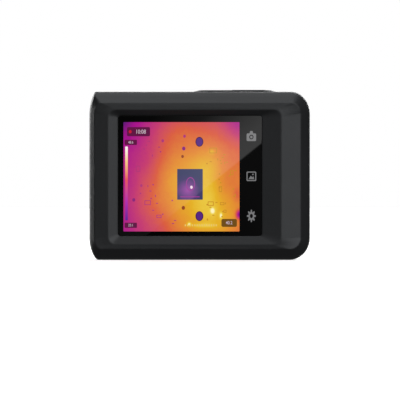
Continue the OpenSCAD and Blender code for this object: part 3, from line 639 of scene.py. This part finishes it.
def overlays(y):
    """The colour bar, its two labels, the clock and the reading in the corner."""
    bar_b, bar_t = 20.0 * MM, 57.2 * MM
    bar = rounded_outline(-37.5 * MM, -36.2 * MM, bar_b, bar_t, 0.3 * MM)
    flat_shape("heat_bar", [bar], y, heat_bar_material(bar_b, bar_t))
    panel = lit("label_panel", (0.120, 0.008, 0.060))
    amber_panel = lit("reading_panel", (0.160, 0.075, 0.010))
    white = lit("label_white", (0.600, 0.480, 0.560))
    red = lit("record_red", (0.600, 0.010, 0.040))
    front = y - LAYER
    clock_panel = rounded_outline(-36.6 * MM, -25.0 * MM, 62.4 * MM, 67.0 * MM, 0.7 * MM)
    flat_shape("clock_panel", [clock_panel], y, panel)
    flat_shape("record_dot", [oval_outline(-35.0 * MM, 64.7 * MM, 0.75 * MM, 0.85 * MM)], front, red)
    number("clock", "10:08", -29.7 * MM, 64.6 * MM, 2.1 * MM, front, white)
    for name, text, z in (("label_hot", "48.6", 59.3), ("label_cold", "23.1", 17.5)):
        label = rounded_outline(-37.8 * MM, -31.6 * MM, (z - 1.3) * MM, (z + 1.3) * MM, 0.4 * MM)
        flat_shape(name + "_panel", [label], y, panel)
        number(name, text, -34.7 * MM, z * MM, 1.3 * MM, front, white)
    reading = rounded_outline(11.0 * MM, 18.8 * MM, 16.7 * MM, 20.7 * MM, 0.8 * MM)
    flat_shape("reading_panel", [reading], y, amber_panel)
    number("reading", "40.2", 14.9 * MM, 18.7 * MM, 1.7 * MM, front, white)


# ---------- the touch keys ----------

def camera_key(x, z, w, h):
    """Body with a hump over it, a gap round the lens, and the lens."""
    l, r, b, t = x - w / 2, x + w / 2, z - h / 2, z + h * 0.26
    outline = rounded_outline(l, r, b, t, w * 0.12)
    hump = [(x + w * 0.20, t), (x + w * 0.12, z + h / 2), (x - w * 0.12, z + h / 2), (x - w * 0.20, t)]
    middle = next(k for k, point in enumerate(outline) if point[0] < x)
    return [outline[:middle] + hump + outline[middle:],
            oval_outline(x, z - h * 0.1, w * 0.23, h * 0.23),
            oval_outline(x, z - h * 0.1, w * 0.13, h * 0.13)]


def gallery_key(x, z, w, h):
    """A framed picture with a hill and a sun."""
    l, r, b, t = x - w / 2, x + w / 2, z - h / 2, z + h / 2
    line = w * 0.11
    hill = [(l + w * 0.2, b + h * 0.2), (l + w * 0.44, b + h * 0.56), (l + w * 0.58, b + h * 0.38),
            (l + w * 0.7, b + h * 0.52), (r - w * 0.2, b + h * 0.2)]
    return [rounded_outline(l, r, b, t, w * 0.12),
            rounded_outline(l + line, r - line, b + line, t - line, w * 0.06),
            hill,
            oval_outline(x + w * 0.16, z + h * 0.2, w * 0.08, h * 0.08)]


def settings_key(x, z, w, h):
    """A gear with eight teeth and a round hole."""
    teeth = 8
    steps = teeth * 8
    middle, tooth = 0.41, 0.09      # radii, as shares of the width and the height
    steepness = 2.2
    outline = []
    for k in range(steps):
        angle = 2 * math.pi * k / steps
        wave = math.cos(teeth * angle)
        radius = middle + tooth * max(-1.0, min(1.0, wave * steepness))
        outline.append((x + w * radius * math.cos(angle), z + h * radius * math.sin(angle)))
    return [outline, oval_outline(x, z, w * 0.17, h * 0.17)]


def touch_keys(y):
    """Three grey keys above one another, right of the picture."""
    grey = lit("key_grey", (0.190, 0.190, 0.195))
    x = 26.1 * MM
    # Name, outline, height of the middle, and width and height, in millimetres
    keys = (("key_camera", camera_key, 62.5, 4.8, 5.1), ("key_gallery", gallery_key, 42.2, 4.9, 4.8),
            ("key_settings", settings_key, 22.2, 4.5, 6.3))
    for name, shape, z, w, h in keys:
        flat_shape(name, shape(x, z * MM, w * MM, h * MM), y, grey)


# ---------- CAD nodes ----------

def paint(material, *nodes):
    """Gives CAD nodes a material without touching their meshes."""
    for name in nodes:
        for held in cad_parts[name].material_slots:
            held.link = "OBJECT"
            held.material = material


def paint_casing():
    """What the hands touch: the casing, the button and the rubber parts."""
    shell = moulded("soft_touch_black", (0.0110, 0.0117, 0.0133), 0.45, 0.30, 0.010, edge_mm=0.9,
                    Specular_IOR_Level=0.72, Specular_Tint=(0.94, 0.97, 1.0, 1.0))
    paint(shell, "rear_cover", "front_cover")
    paint(moulded("button_black", (0.014, 0.0145, 0.016), 0.46, 0.25, 0.006, edge_mm=0.2), "capture_button")
    paint(moulded("plinth_black", (0.012, 0.0125, 0.014), 0.50, 0.25, 0.005, edge_mm=0.2), "button_bezel")
    paint(moulded("bezel_black", (0.012, 0.012, 0.013), 0.24, 0.6, 0.003, Coat_Weight=0.35), "lens_bezel")
    paint(moulded("grip_rubber", (0.012, 0.012, 0.0125), 0.68, 0.45, 0.03), "grip_pad", "port_door")
    paint(moulded("seal_rubber", (0.020, 0.020, 0.021), 0.62, 0.5, 0.02), "case_seal", "lens_o_ring",
          "port_door_seal")


def paint_optics():
    """Lenses and windows, and the barrel that holds the lenses."""
    paint(coated_lens("germanium_front", (0.34, 0.20, 0.30), (0.12, 0.30, 0.38)), "lens_front_element")
    paint(coated_lens("germanium_rear", (0.30, 0.24, 0.28), (0.20, 0.26, 0.30)), "lens_rear_element")
    anodised = metal("black_anodised", (0.030, 0.030, 0.033), 0.34, (1, 40, 1))
    paint(anodised, "lens_barrel", "lens_spacer", "lens_retaining_ring")
    paint(coated_lens("camera_window_glass", (0.010, 0.012, 0.022), (0.05, 0.04, 0.10)), "camera_window")
    paint(clear_optic("torch_optic", (0.86, 0.88, 0.90), 0.12), "torch_lens")
    paint(clear_optic("light_pipe", (0.80, 0.84, 0.82), 0.25), "status_light_pipe")


def paint_inside():
    """Everything in the casing, and the metal fittings on it."""
    bright = metal("plated_steel", (0.62, 0.62, 0.64), 0.28)
    paint(bright, "frame_screws", "board_screws", "core_screws", "core_mount_screws", "processor_shield",
          "usb_socket_shell", "strap_bar", "port_door_pin", "nuc_yoke")
    paint(metal("black_screw", (0.045, 0.045, 0.048), 0.36), "case_screws")
    paint(metal("cast_frame", (0.42, 0.43, 0.45), 0.5, (1, 1, 1), 0.6),
          "mid_frame", "core_housing", "nuc_base", "lcd_backlight")
    paint(metal("nickel_magnet", (0.50, 0.50, 0.51), 0.25, (1, 12, 1)), "nuc_rotor")
    paint(metal("blackened_foil", (0.020, 0.020, 0.021), 0.55, (30, 1, 1)), "nuc_blade")
    paint(metal("coil_copper", (0.72, 0.32, 0.14), 0.32, (60, 1, 1), 2.0), "nuc_coil")
    paint(metal("detector_window", (0.22, 0.23, 0.27), 0.15, (1, 1, 1), 4.0), "detector_window")
    paint(circuit_board("main_board_mask", (0.010, 0.085, 0.035)), "main_board")
    paint(circuit_board("small_board_mask", (0.012, 0.070, 0.045)), "core_board", "button_board")
    package = moulded("chip_package", (0.018, 0.018, 0.019), 0.5, 0.2, 0.006)
    paint(package, "board_chips", "tact_switch", "core_connector", "usb_socket_tongue", "camera_module")
    paint(moulded("detector_ceramic", (0.55, 0.51, 0.43), 0.45, 0.3, 0.004), "ir_detector")
    paint(striped("flex_film", (0.52, 0.22, 0.03), (0.72, 0.38, 0.10), 0.987), "display_flex", "front_flex",
          "button_flex")
    paint(moulded("display_panel", (0.03, 0.03, 0.034), 0.3, 0.8, 0.002), "lcd_panel")
    paint(moulded("foam_tape", (0.02, 0.02, 0.02), 0.8, 0.5, 0.05), "glass_adhesive")
    paint(moulded("cream_tape", (0.62, 0.55, 0.36), 0.6, 0.6, 0.01), "battery_tape")
    paint(foil("pouch_foil", (0.66, 0.67, 0.70)), "battery")
    paint(moulded("red_insulation", (0.42, 0.02, 0.015), 0.42, 0.8, 0.004), "battery_leads")
    paint(moulded("white_nylon", (0.72, 0.71, 0.66), 0.42, 0.6, 0.004), "battery_plug", "switch_actuator")
    paint(moulded("led_phosphor", (0.78, 0.62, 0.14), 0.5, 0.3, 0.01), "torch_led")
    paint(metal("knurled_brass", (0.72, 0.50, 0.20), 0.3, (1, 1, 8)), "tripod_insert")


# ---------- stage ----------

def pale_floor():
    """A wide floor that takes shadows, but throws no light back up onto the object."""
    s = Shader("floor_white", (0.92, 0.92, 0.92), 0.75, Emission_Strength=FLOOR_GLOW)
    s.shader.inputs["Emission Color"].default_value = (1, 1, 1, 1)
    s.colour(s.ramp(s.noise(60, 3), [(0.3, (0.90, 0.90, 0.90)), (0.7, (0.93, 0.93, 0.93))]))
    bm = bmesh.new()
    bmesh.ops.create_grid(bm, x_segments=8, y_segments=8, size=12)
    floor = piece("floor", bm, s.material, body=None)
    floor.visible_diffuse = False
    floor.visible_glossy = False


def reflection_card():
    """A card behind the camera that only reflections see, bright above a slanting line and dark below."""
    behind = 0.05
    reach = (CAMERA_DISTANCE + behind) / CAMERA_DISTANCE
    start, end = (point + (point - AIM) * reach for point in (GLOSS_A, GLOSS_B))
    along = Vector((start.x - end.x, 0, start.z - end.z)).normalized()
    across = Vector((-along.z, 0, along.x))
    middle = Vector(((start.x + end.x) / 2, AIM.y - CAMERA_DISTANCE - behind, (start.z + end.z) / 2))
    half = 0.22
    bm = bmesh.new()
    for a, b in ((-1, -1), (1, -1), (1, 1), (-1, 1)):
        bm.verts.new(middle + along * half * a + across * half * b)
    bm.faces.new(bm.verts)
    s = Shader("reflection_card", (0, 0, 0), 1.0)
    s.tree.nodes.remove(s.shader)
    share = s.math("MULTIPLY", s.distance_along(across, middle), 1 / half)
    run = s.distance_along(along, middle)
    dim, bright = 0.12, 1.1
    glow = s.node("Emission")
    s.join(s.between(run, dim, bright, -0.35 * half, 0.14 * half), glow, "Strength")
    # Brightness at each share of the way from the slanting line to the card's edge
    fade = ((0.0, 0.07), (0.004, 1.0), (0.07, 0.95), (0.14, 0.70), (0.26, 0.19), (0.41, 0.05), (1.0, 0.02))
    s.join(s.ramp(share, [(at, (level, level, level)) for at, level in fade]), glow, "Color")
    s.join(glow.outputs[0], s.tree.nodes["Material Output"], "Surface")
    card = piece("reflection_card", bm, s.material, body=None)
    for kind in ("camera", "diffuse", "transmission", "volume_scatter", "shadow"):
        setattr(card, "visible_" + kind, False)


def light_room():
    """White to the camera, dimmer as a light, so that the floor is white and the casing stays dark."""
    world = bpy.data.worlds.new("room")
    bpy.context.scene.world = world
    world.use_nodes = True
    nodes, links = world.node_tree.nodes, world.node_tree.links
    background = nodes["Background"]
    rays = nodes.new("ShaderNodeLightPath")
    strength = nodes.new("ShaderNodeMapRange")
    strength.inputs["To Min"].default_value = ROOM_GLOW
    strength.inputs["To Max"].default_value = 1.0
    links.new(rays.outputs["Is Camera Ray"], strength.inputs["Value"])
    links.new(strength.outputs[0], background.inputs["Strength"])
    background.inputs["Color"].default_value = (1, 1, 1, 1)


def sun(name, strength, angle, towards):
    """A very soft sun that stands in the direction towards."""
    lamp = bpy.data.lights.new(name, "SUN")
    lamp.energy = strength
    lamp.angle = math.radians(angle)
    made = bpy.data.objects.new(name, lamp)
    made.rotation_mode = "QUATERNION"
    made.rotation_quaternion = (-Vector(towards)).to_track_quat("-Z", "Y")
    bpy.context.scene.collection.objects.link(made)


def set_camera():
    """A long lens square to the screen, as in the photograph."""
    lens = bpy.data.cameras.new("camera")
    lens.sensor_width = 36
    lens.lens = lens.sensor_width * CAMERA_DISTANCE / VIEW_WIDTH
    lens.clip_end = 30
    made = bpy.data.objects.new("camera", lens)
    made.location = AIM - Vector((0, CAMERA_DISTANCE, 0))
    made.rotation_euler = (math.radians(90), 0, 0)
    bpy.context.scene.collection.objects.link(made)
    bpy.context.scene.camera = made


set_camera()
bpy.context.scene.view_settings.view_transform = "Standard"
light_room()
for name, strength, angle, towards in SUNS:
    sun(name, strength, angle, towards)
pale_floor()
reflection_card()

paint_casing()
paint_optics()
paint_inside()
build_display()
